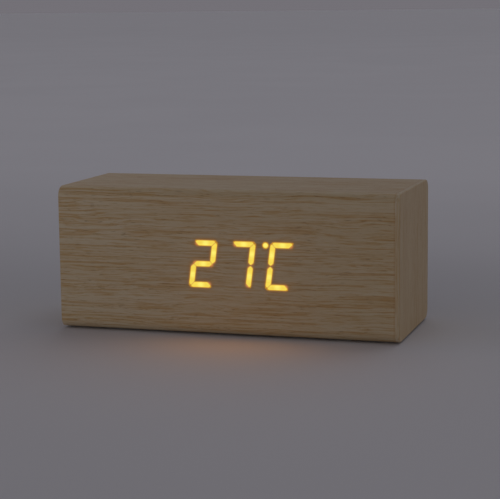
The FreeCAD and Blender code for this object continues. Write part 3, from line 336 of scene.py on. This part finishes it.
def left_end_veneer():
    """The left end cap, with the wrap's own grain running on over its edge."""
    graph = Graph("oak_end_left")
    colour, roughness, height, on_face = end_cap_wood(graph)
    wrap_colour, wrap_roughness, wrap_height = long_face_wood(graph)
    return graph.finish(base_color=graph.mix(on_face, wrap_colour, colour),
                        roughness=graph.blend_values(on_face, wrap_roughness, roughness),
                        specular_ior_level=WOOD_SHEEN,
                        normal=graph.bump(graph.blend_values(on_face, wrap_height, height), 0.035))


def fibreboard():
    """Pressed brown fibres, raw and dull."""
    graph = Graph("fibreboard")
    place = graph.here()
    fibres = graph.noise(place, (1.2, 0.5, 0.8), detail=5, rough=0.7)
    blotches = graph.noise(place, (9, 9, 9), seed=2)
    colour = graph.mix(fibres, (0.30, 0.19, 0.11), (0.50, 0.36, 0.23))
    colour = graph.mix(graph.product(blotches, 0.35), colour, (0.38, 0.25, 0.15))
    return graph.finish(base_color=colour, roughness=0.85, normal=graph.bump(fibres, 0.12))


def lit_veneer():
    """The veneer that a bar shines through: palest over its LED, and orange towards its rim."""
    graph = Graph("segment_glow")
    from_bar, from_led = bar_distances(graph)
    x, y, z = graph.split(graph.here())
    grain = graph.noise(graph.join(x, z, y), (6, 0.6, 0.6), detail=3, seed=8)
    core = graph.span(from_led, 2.6, 0.2)
    rim = graph.span(from_bar, 0.95, 1.5)
    reached = graph.span(from_bar, 2.3, 1.9)
    colour = graph.mix(core, (0.93, 0.71, 0.078), (0.97, 0.86, 0.15))
    colour = graph.mix(rim, colour, (0.88, 0.40, 0.02))
    strength = graph.product(graph.sum(0.95, graph.product(core, 0.04), graph.product(rim, -0.38)),
                             graph.span(grain, 0.3, 0.7, 0.94, 1.04), reached)
    shade = graph.mix(reached, (0.50, 0.30, 0.12), (0.20, 0.10, 0.03))
    return graph.finish(base_color=shade, roughness=0.6, emission_color=colour, emission_strength=strength)


# ---------------------------------------------------------------- plastics and rubber

SIGN_RISE, SIGNS_HALF_WIDTH, SIGN_HALF_HEIGHT = 6.2, 12.5, 1.6
SIGN_GREY, PALE_DUST = (0.62, 0.62, 0.60), (0.35, 0.33, 0.30)


def sign_paint(graph):
    """1 on the floors of the three signs sunk above the buttons, and 0 elsewhere."""
    x, y, z = graph.split(graph.here())
    button, surface = centre_of("up_button"), box_of("rear_panel")[1].y
    beside = graph.maths("ABSOLUTE", graph.sum(x, -button.x))
    above = graph.maths("ABSOLUTE", graph.sum(z, -button.z - SIGN_RISE))
    sunk = graph.span(y, surface - 0.1, surface - 0.2)
    return graph.product(sunk, graph.span(beside, SIGNS_HALF_WIDTH + 0.5, SIGNS_HALF_WIDTH),
                         graph.span(above, SIGN_HALF_HEIGHT + 0.2, SIGN_HALF_HEIGHT))


def moulded(name, colour, roughness, pebble=0.35, depth=0.012, edge=0.25, rubbed=1.6, paint=None):
    """Injection-moulded plastic: a fine pebbled skin, faint flow marks, dust, and edges rubbed brighter."""
    graph = Graph(name)
    place = graph.here()
    skin = graph.cells(place, pebble, feature="SMOOTH_F1")
    flow = graph.noise(place, (22, 9, 14), detail=3, seed=3)
    dust = graph.noise(place, (3.5, 3.5, 3.5), detail=5, rough=0.75, seed=5)
    softened = graph.soft_edges(edge)
    wear = graph.product(graph.edge_wear(softened), graph.span(dust, 0.35, 0.6, 0.3, 1))
    darker, paler = (tuple(c * share for c in colour) for share in (0.8, 1.15))
    shade = graph.mix(graph.span(flow, 0.3, 0.7), darker, paler)
    if paint is not None:
        shade = graph.mix(paint(graph), shade, SIGN_GREY)
    shade = graph.mix(graph.product(graph.span(dust, 0.52, 0.75), 0.10), shade, PALE_DUST)
    shade = graph.mix(graph.product(wear, 0.30), shade, tuple(min(c * rubbed + 0.06, 1) for c in colour))
    rough = graph.sum(roughness - 0.06, graph.product(flow, 0.12), graph.product(wear, -0.12))
    return graph.finish(base_color=shade, roughness=rough, normal=graph.bump(skin, depth, softened))


def rubber():
    """Dull black rubber with a gritty skin and grey scuffs."""
    graph = Graph("foot_rubber")
    place = graph.here()
    grit = graph.noise(place, (0.4, 0.4, 0.4), detail=4, rough=0.7)
    scuff = graph.noise(place, (3, 3, 3), detail=3, seed=2)
    colour = graph.mix(graph.span(scuff, 0.4, 0.7), (0.02, 0.02, 0.022), (0.055, 0.053, 0.05))
    return graph.finish(base_color=colour, roughness=graph.span(grit, 0.2, 0.8, 0.7, 0.95),
                        normal=graph.bump(grit, 0.05, graph.soft_edges(0.2)))


def insulated_wire(name, colour):
    """Soft insulation with a slight gloss, fine ripples and finger dust."""
    graph = Graph(name)
    place = graph.here()
    ripple = graph.noise(place, (0.8, 0.8, 0.8))
    dust = graph.noise(place, (2.5, 2.5, 2.5), detail=4, seed=4)
    shade = graph.mix(graph.product(graph.span(dust, 0.45, 0.75), 0.25), colour, (0.4, 0.37, 0.33))
    return graph.finish(base_color=shade, roughness=graph.span(dust, 0.3, 0.7, 0.32, 0.5),
                        normal=graph.bump(ripple, 0.03))


def ribbon():
    """Flat cable: a ridge over each of its conductors, running from one board to the other, with painted
    shade in the grooves.
    """
    graph = Graph("ribbon_grey")
    low, high = box_of("display_ribbon")
    place = graph.here()
    x, y, _ = graph.split(place)
    half_width, conductor_pitch = 7, 1.27
    slope = (high.x - low.x - 2 * half_width) / (high.y - low.y)
    middle = graph.maths("MULTIPLY_ADD", y, slope, low.x + half_width - slope * low.y)
    across = graph.maths("SUBTRACT", x, middle)
    ridge = graph.maths("ABSOLUTE", graph.maths("SINE", graph.product(across, math.pi / conductor_pitch)))
    dust = graph.noise(place, (4, 4, 4), detail=4)
    # Painted shade: the grey is darker in the grooves between the ridges and paler on their tops.
    shade = graph.mix(ridge, (0.20, 0.205, 0.215), (0.42, 0.43, 0.45))
    shade = graph.mix(graph.product(dust, 0.2), shade, (0.5, 0.47, 0.42))
    return graph.finish(base_color=shade, roughness=0.45, normal=graph.bump(ridge, 0.3))


def frosted_film():
    """Milky film that lets some light through."""
    graph = Graph("diffuser_film")
    frost = graph.noise(graph.here(), (0.25, 0.25, 0.25), detail=3)
    tint = graph.mix(frost, (0.72, 0.72, 0.69), (0.86, 0.86, 0.84))
    return graph.finish(base_color=tint, roughness=0.6, normal=graph.bump(frost, 0.02),
                        transmission_weight=0.25)


# ---------------------------------------------------------------- metals

def metal(name, bright, dull, roughness):
    """Bare or plated metal: a brushed lay, cloudy tarnish, small scratches and rubbed edges."""
    graph = Graph(name)
    place = graph.here()
    brushed = graph.noise(place, (9, 0.25, 0.25), detail=3, rough=0.6)
    tarnish = graph.noise(place, (2.6, 2.6, 2.6), detail=5, rough=0.65, seed=3)
    scratches = graph.span(graph.noise(place, (0.12, 2.8, 2.8), seed=6), 0.66, 0.72)
    softened = graph.soft_edges(0.12)
    wear = graph.edge_wear(softened)
    colour = graph.mix(graph.span(tarnish, 0.42, 0.72), bright, dull)
    colour = graph.mix(graph.product(wear, 0.5), colour, tuple(min(c * 1.15, 1) for c in bright))
    rough = graph.sum(roughness, graph.product(tarnish, 0.16), graph.product(brushed, 0.08),
                      graph.product(scratches, 0.1))
    height = graph.maths("SUBTRACT", brushed, scratches)
    return graph.finish(base_color=colour, metallic=1, roughness=rough,
                        normal=graph.bump(height, 0.006, softened))


def cell_film():
    """A printed sleeve round each dry cell, with a coloured band at the positive end and bare steel ends."""
    graph = Graph("cell_wrap")
    place = graph.here()
    x, y, z = graph.split(place)
    middle = centre_of("battery_cells")
    pitch, radius = 11.3, 5.25
    band_start, stripe_start, stripe_end, blur = 11.0, 9.7, 10.2, 0.1
    silver, petrol = (0.42, 0.44, 0.45), (0.03, 0.14, 0.20)
    scuffed, steel = (0.55, 0.55, 0.54), (0.68, 0.67, 0.65)
    # The rows are -1, 0 and 1, and the middle cell points the other way.
    row = graph.maths("ROUND", graph.product(graph.sum(z, -middle.z), 1 / pitch))
    way = graph.maths("MULTIPLY_ADD", graph.maths("ABSOLUTE", row), 2, -1)
    from_middle = graph.product(graph.sum(x, -middle.x), way)
    offsets = graph.sum(y, -middle.y), graph.sum(z, -middle.z, graph.product(row, -pitch))
    squares = (graph.maths("POWER", offset, 2) for offset in offsets)
    off_axis = graph.maths("POWER", graph.sum(*squares), 0.5)
    bare = graph.span(off_axis, radius - 0.35, radius - 0.55)
    band = graph.span(from_middle, band_start - blur, band_start)
    stripe = graph.product(graph.span(from_middle, stripe_start - blur, stripe_start),
                           graph.span(from_middle, stripe_end + blur, stripe_end))
    scuffs = graph.noise(place, (5, 1.2, 1.2), detail=5, rough=0.7)
    shade = graph.mix(band, silver, petrol)
    shade = graph.mix(stripe, shade, petrol)
    shade = graph.mix(graph.product(graph.span(scuffs, 0.55, 0.75), 0.35), shade, scuffed)
    shade = graph.mix(bare, shade, steel)
    wrinkle = graph.noise(place, (2.5, 3, 3), detail=3, seed=4)
    return graph.finish(base_color=shade, metallic=graph.blend_values(bare, 0.55, 1.0),
                        roughness=graph.span(scuffs, 0.3, 0.7, 0.26, 0.42),
                        normal=graph.bump(wrinkle, 0.03, graph.soft_edges(0.3)))


# ---------------------------------------------------------------- electronics

def circuit_board():
    """Green solder mask over copper traces that run in patches along or up the board, with plated vias whose
    holes are painted dark as shade.
    """
    graph = Graph("board_green")
    place = graph.here()
    x, _, z = graph.split(place)
    flat = graph.join(x, 0, z)
    patch_size, half_trace_pitch, via_pitch = 7, 0.6, 2.54
    turn, kind, _ = graph.split(graph.cells(flat, patch_size, output="Color"))
    line = graph.blend_values(graph.maths("GREATER_THAN", turn, 0.5), x, z)
    saw = graph.maths("PINGPONG", line, half_trace_pitch)
    traces = graph.product(graph.span(saw, 0.42, 0.47), graph.maths("GREATER_THAN", kind, 0.35))
    holes = graph.cells(flat, via_pitch, randomness=0.55)
    ring = graph.product(graph.span(holes, 0.15, 0.13), graph.span(holes, 0.05, 0.07))
    hole = graph.span(holes, 0.07, 0.05)
    mask = graph.noise(place, (6, 6, 6), detail=3, seed=3)
    shade = graph.mix(graph.span(mask, 0.3, 0.7), (0.012, 0.115, 0.045), (0.02, 0.155, 0.06))
    shade = graph.mix(graph.product(traces, 0.8), shade, (0.035, 0.25, 0.09))
    shade = graph.mix(ring, shade, (0.70, 0.55, 0.25))
    # Painted shade: each via's hole is near black, for the shade inside it.
    shade = graph.mix(hole, shade, (0.01, 0.02, 0.01))
    height = graph.sum(traces, graph.product(ring, 1.2), graph.product(hole, -2))
    return graph.finish(base_color=shade, roughness=graph.span(mask, 0.2, 0.8, 0.22, 0.38), metallic=ring,
                        normal=graph.bump(height, 0.04, graph.soft_edges(0.1)))


def led_package():
    """White LED packages, clouded with yellow phosphor and glowing faintly."""
    graph = Graph("led_white")
    place = graph.here()
    speckle = graph.noise(place, (0.3, 0.3, 0.3), detail=3)
    clouds = graph.noise(place, (1.5, 1.5, 1.5), seed=2)
    shade = graph.mix(graph.span(clouds, 0.4, 0.6), (0.85, 0.82, 0.70), (0.86, 0.66, 0.16))
    return graph.finish(base_color=shade, roughness=graph.span(speckle, 0.3, 0.7, 0.25, 0.45),
                        normal=graph.bump(speckle, 0.02, graph.soft_edges(0.1)),
                        emission_color=(1.0, 0.55, 0.08), emission_strength=0.4)


def woven(name, light, dark, pitch, depth):
    """A fine woven cloth seen face on along Y: crossing threads with fuzzy variation."""
    graph = Graph(name)
    place = graph.here()
    x, _, z = graph.split(place)
    warp, weft = (graph.maths("SINE", graph.product(way, 2 * math.pi / pitch)) for way in (x, z))
    weave = graph.maths("MULTIPLY_ADD", graph.product(warp, weft), 0.5, 0.5)
    fuzz = graph.noise(place, (0.5, 0.5, 0.5), detail=4, seed=3)
    shade = graph.mix(graph.sum(graph.product(weave, 0.7), graph.product(fuzz, 0.3)), dark, light)
    return graph.finish(base_color=shade, roughness=0.85, normal=graph.bump(weave, depth))


# ---------------------------------------------------------------- which node gets which look

def all_looks():
    """Every frame node's material, by name."""
    black = moulded("black_plastic", (0.034, 0.034, 0.037), 0.50, paint=sign_paint)
    chip = moulded("chip_black", (0.018, 0.018, 0.02), 0.40, pebble=0.18, depth=0.006, edge=0.12)
    screw = metal("screw_steel", (0.60, 0.60, 0.61), (0.42, 0.42, 0.43), 0.22)
    nickel = metal("contact_nickel", (0.72, 0.70, 0.66), (0.50, 0.48, 0.44), 0.20)
    steel = metal("cell_steel", (0.74, 0.74, 0.74), (0.52, 0.52, 0.52), 0.22)
    cream = moulded("socket_cream", (0.72, 0.68, 0.56), 0.45, edge=0.15, rubbed=1.1)
    button = moulded("button_plastic", (0.085, 0.085, 0.09), 0.34, pebble=0.25, depth=0.005)
    plunger = moulded("plunger_plastic", (0.03, 0.03, 0.03), 0.25, depth=0.004, edge=0.1)
    board, board_of_wood = circuit_board(), fibreboard()
    looks = {
        "veneer_wrap": veneer(), "end_cap_left": left_end_veneer(), "end_cap_right": right_end_veneer(),
        "case_core": board_of_wood, "end_board_left": board_of_wood, "end_board_right": board_of_wood,
        "feet": rubber(), "lit_segments": lit_veneer(), "diffuser_film": frosted_film(),
        "segment_mask": moulded("mask_plastic", (0.02, 0.02, 0.02), 0.65), "display_leds": led_package(),
        "rear_panel": black, "battery_door": black, "battery_springs": nickel, "battery_contacts": nickel,
        "coin_cell": steel, "clock_crystal": steel, "battery_cells": cell_film(),
        "display_socket": cream, "ribbon_socket": cream, "battery_plug": cream, "display_ribbon": ribbon(),
        "battery_lead_red": insulated_wire("lead_red", (0.45, 0.012, 0.01)),
        "battery_lead_black": insulated_wire("lead_black", (0.012, 0.012, 0.012)),
        "co2_leads": insulated_wire("lead_yellow", (0.60, 0.38, 0.03)),
        "usb_socket_shell": metal("usb_steel", (0.62, 0.62, 0.63), (0.45, 0.45, 0.46), 0.25),
        "usb_socket_tongue": moulded("tongue_black", (0.02, 0.02, 0.02), 0.35, edge=0.08),
        "co2_chamber": metal("chamber_gold", (0.92, 0.66, 0.26), (0.70, 0.46, 0.16), 0.24),
        "co2_membranes": woven("membrane_white", (0.86, 0.86, 0.85), (0.62, 0.62, 0.6), 0.35, 0.04),
        "vent_filter": woven("filter_cloth", (0.075, 0.075, 0.08), (0.01, 0.01, 0.011), 0.55, 0.15),
    }
    looks.update({name: board for name in ("main_board", "display_board", "co2_board")})
    looks.update({name: chip for name in ("display_driver_chip", "processor_chip", "switch_bodies",
                                          "alarm_buzzer", "coin_cell_holder", "climate_sensor")})
    looks.update({name: screw for name in ("display_board_screws", "mask_screws", "rear_panel_screws",
                                           "main_board_screws", "co2_board_screws")})
    for key in ("set", "up", "down"):
        looks[f"{key}_button"] = button
        looks[f"{key}_switch_plunger"] = plunger
    return looks


def dress_frame(looks):
    """Gives each frame node its material, and stops if one is left without."""
    for name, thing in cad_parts.items():
        thing.data.materials.clear()
        thing.data.materials.append(looks[name])


# ---------------------------------------------------------------- small parts on the boards

X_WAY, Y_WAY, Z_WAY = Vector((1, 0, 0)), Vector((0, 1, 0)), Vector((0, 0, 1))
MAIN_FRONT, MAIN_BACK = (corner.y for corner in box_of("main_board"))
DISPLAY_BACK = box_of("display_board")[1].y
PIN_REACH = 0.55


def add_piece(name, shape, look):
    """Turns a bmesh in millimetres into a named piece that rides on the case."""
    bmesh.ops.recalc_face_normals(shape, faces=shape.faces)
    bmesh.ops.scale(shape, vec=(MM, MM, MM), verts=shape.verts)
    mesh = bpy.data.meshes.new(name)
    shape.to_mesh(mesh)
    shape.free()
    mesh.materials.append(look)
    thing = add_object(name, mesh)
    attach(thing, "case")


def add_strip(shape, path, across, width, thick):
    """A flat strip of metal bent along a path of places."""
    rings = []
    for i, place in enumerate(path):
        onward = (path[min(i + 1, len(path) - 1)] - path[max(i - 1, 0)]).normalized()
        upward = across.cross(onward)
        rings.append([shape.verts.new(place + across * (u * width / 2) + upward * (w * thick / 2))
                      for u, w in ((1, 1), (-1, 1), (-1, -1), (1, -1))])
    for near, far in zip(rings, rings[1:]):
        for i in range(4):
            shape.faces.new((near[i], near[(i + 1) % 4], far[(i + 1) % 4], far[i]))
    shape.faces.new(rings[0][::-1])
    shape.faces.new(rings[-1])


def chip_legs(chip, board_y, sides, count, pitch):
    """Gull-wing legs along the named sides of a chip, from half its height out and down to the board."""
    shape = bmesh.new()
    low, high = box_of(chip)
    middle = (low + high) / 2
    drop = (middle.y - board_y) * 0.92
    # How far each bend stands out from the chip's edge.
    sunk, shoulder, knee, toe = -0.1, 0.35, 0.55, 1.05
    for outward in sides:
        along = Z_WAY if outward.x else X_WAY
        half_body = abs((high - low).dot(outward)) / 2
        for i in range(count):
            edge = middle + along * ((i - (count - 1) / 2) * pitch) + outward * half_body
            foot = edge - Y_WAY * drop
            path = [edge + outward * sunk, edge + outward * shoulder,
                    foot + outward * knee, foot + outward * toe]
            add_strip(shape, path, along, width=pitch * 0.45, thick=0.12)
    return shape


def processor_legs():
    """Eight legs on each side of the processor."""
    return chip_legs("processor_chip", MAIN_FRONT, (X_WAY, -X_WAY, Z_WAY, -Z_WAY), 8, 0.8)


def driver_legs():
    """Ten legs on the upper and on the lower side of the display's driver."""
    low, high = box_of("display_driver_chip")
    count = 10
    pitch = (high.x - low.x) / (count + 1)
    return chip_legs("display_driver_chip", DISPLAY_BACK, (Z_WAY, -Z_WAY), count, pitch)


def switch_pins():
    """Where each switch's four pins come through the main board's front, and to which side of the switch."""
    low, high = box_of("switch_bodies")
    from_middle, half_row = (high.z - low.z) / 2 + PIN_REACH, 2.25
    pins = []
    for key in ("set", "up", "down"):
        button = centre_of(f"{key}_button")
        for side in (-1, 1):
            for rise in (-half_row, half_row):
                pins.append((Vector((button.x + side * from_middle, MAIN_FRONT, button.z + rise)), side))
    return pins


def switch_legs():
    """A bent leg from each switch's side out to its pin's place and through the board."""
    shape = bmesh.new()
    top, bend, sunk, tail = MAIN_BACK + 1.2, MAIN_BACK + 0.7, 0.1, 0.5
    for pin, side in switch_pins():
        root = Vector((pin.x - side * (PIN_REACH + sunk), top, pin.z))
        path = [root] + [Vector((pin.x, y, pin.z)) for y in (top, bend, pin.y - tail)]
        add_strip(shape, path, Z_WAY, width=0.7, thick=0.2)
    return shape


def switch_solder():
    """A blob of solder round each switch pin, half sunk in the board and flattened along Y."""
    shape = bmesh.new()
    flattened = Matrix.Rotation(math.radians(90), 4, "X") @ Matrix.Diagonal((1, 1, 0.7, 1))
    for pin, _ in switch_pins():
        bmesh.ops.create_uvsphere(shape, u_segments=12, v_segments=8, radius=0.75,
                                  matrix=Matrix.Translation(pin) @ flattened)
    return shape


def usb_contacts():
    """Twelve contacts on each face of the socket's tongue."""
    shape = bmesh.new()
    low, high = box_of("usb_socket_tongue")
    count, pitch = 12, 0.5
    for face in (low.z, high.z):
        for i in range(count):
            x = (low.x + high.x) / 2 + (i - (count - 1) / 2) * pitch
            path = [Vector((x, y, face)) for y in (low.y + 1, high.y - 0.5)]
            add_strip(shape, path, X_WAY, width=0.26, thick=0.06)
    return shape


node_looks = all_looks()
dress_frame(node_looks)
tin, gold = node_looks["battery_contacts"], node_looks["co2_chamber"]
add_piece("processor_legs", processor_legs(), tin)
add_piece("driver_legs", driver_legs(), tin)
add_piece("switch_legs", switch_legs(), tin)
add_piece("switch_solder", switch_solder(), tin)
add_piece("usb_contacts", usb_contacts(), gold)


# ---------------------------------------------------------------- floor, light and camera

def floor():
    """A wide pale paper floor with painted shade: a little darker close behind the block, as a studio sweep
    is shaded there.
    """
    mesh = bpy.data.meshes.new("floor")
    reach = 90  # metres
    corners = [(-reach, -reach, 0), (reach, -reach, 0), (reach, reach, 0), (-reach, reach, 0)]
    mesh.from_pydata(corners, [], [(0, 1, 2, 3)])
    add_object("floor", mesh)
    graph = Graph("floor_paper")
    place = graph.here()
    _, y, _ = graph.split(place)
    fibres = graph.noise(place, (0.9, 0.9, 0.9), detail=4)
    clouds = graph.noise(place, (260, 260, 260), seed=2)
    # Painted shade: the paper darkens close behind the block, a little far off, and in a band from just in
    # front of the block to some way behind it.
    near_painted_shade = graph.span(y, 60, 700, 0.80, 0.97, smooth=False)
    far_painted_shade = graph.span(y, 1100, 9000, 1.0, 0.94, smooth=False)
    band = graph.product(graph.span(y, -60, 20), graph.span(y, 330, 60), 0.08)
    painted_shade_tone = graph.maths("SUBTRACT", graph.product(near_painted_shade, far_painted_shade), band)
    paper = graph.mix(graph.span(clouds, 0.3, 0.7), (0.90, 0.89, 0.94), (0.92, 0.91, 0.96))
    shade = graph.mix(painted_shade_tone, (0, 0, 0), paper)
    mesh.materials.append(graph.finish(base_color=shade, roughness=0.9, specular_ior_level=0.2,
                                       normal=graph.bump(fibres, 0.03)))


def surroundings():
    """An even, slightly cool light from all round, seen as a brighter backdrop by the camera and in gloss."""
    light, backdrop = (0.122, 0.118, 0.130, 1), (0.173, 0.164, 0.183, 1)
    world = bpy.data.worlds.new("studio")
    world.use_nodes = True
    bpy.context.scene.world = world
    tree = world.node_tree
    background = tree.nodes["Background"]
    path = tree.nodes.new("ShaderNodeLightPath")
    seen = tree.nodes.new("ShaderNodeMath")
    seen.operation = "MAXIMUM"
    mix = tree.nodes.new("ShaderNodeMix")
    mix.data_type = "RGBA"
    tree.links.new(path.outputs["Is Camera Ray"], seen.inputs[0])
    tree.links.new(path.outputs["Is Glossy Ray"], seen.inputs[1])
    tree.links.new(seen.outputs[0], mix.inputs[0])
    mix.inputs[6].default_value = light
    mix.inputs[7].default_value = backdrop
    tree.links.new(mix.outputs[2], background.inputs["Color"])


def soft_sun(name, towards, strength, spread):
    """A distant lamp shining towards a direction, spread over an angle in degrees."""
    data = bpy.data.lights.new(name, "SUN")
    data.energy, data.angle = strength, math.radians(spread)
    lamp = add_object(name, data)
    lamp.rotation_mode = "QUATERNION"
    lamp.rotation_quaternion = Vector(towards).to_track_quat("-Z", "Y")


def display_spill():
    """The digits' light on the floor: an unseen warm panel just in front of them."""
    data = bpy.data.lights.new("display_spill", "AREA")
    data.shape, data.size, data.size_y = "RECTANGLE", 60 * MM, 20 * MM
    data.energy, data.color = 0.0065, (1.0, 0.38, 0.06)
    lamp = add_object("display_spill", data)
    lamp.location = Vector((DISPLAY.x + DIGIT_PITCH / 2, FRONT_Y - 1, DISPLAY.z)) * MM
    lamp.rotation_euler = (math.radians(-90), 0, 0)
    lamp.visible_camera = False


def camera():
    """A long lens a little above the block and to its right, with a slight roll."""
    azimuth, elevation, roll = (math.radians(angle) for angle in (17.18, 8.594, 0.638))
    back = Vector((math.sin(azimuth) * math.cos(elevation), -math.cos(azimuth) * math.cos(elevation),
                   math.sin(elevation)))
    right = Vector((math.cos(azimuth), math.sin(azimuth), 0))
    to_camera = Matrix.Rotation(roll, 3, "Z") @ Matrix((right, back.cross(right), back))
    to_world = to_camera.transposed()
    # The middle of the wood's underside, in the camera's own axes.
    wood_base = Vector((-1.77, -36.09, -797.86))
    place = (to_world @ -wood_base + Z_WAY * WRAP_LOW.z) * MM
    data = bpy.data.cameras.new("camera")
    data.lens, data.sensor_width, data.clip_end = 114.83, 36, 400
    thing = add_object("camera", data)
    thing.matrix_world = Matrix.Translation(place) @ to_world.to_4x4()
    bpy.context.scene.camera = thing


floor()
surroundings()
soft_sun("overhead", (-0.15, -0.65, -0.8), 0.285, 60)
soft_sun("front_fill", (0.22, 0.95, -0.06), 0.345, 45)
soft_sun("right_fill", (-0.95, 0.2, -0.1), 0.075, 50)
display_spill()
camera()
bpy.context.scene.view_settings.view_transform = "Standard"
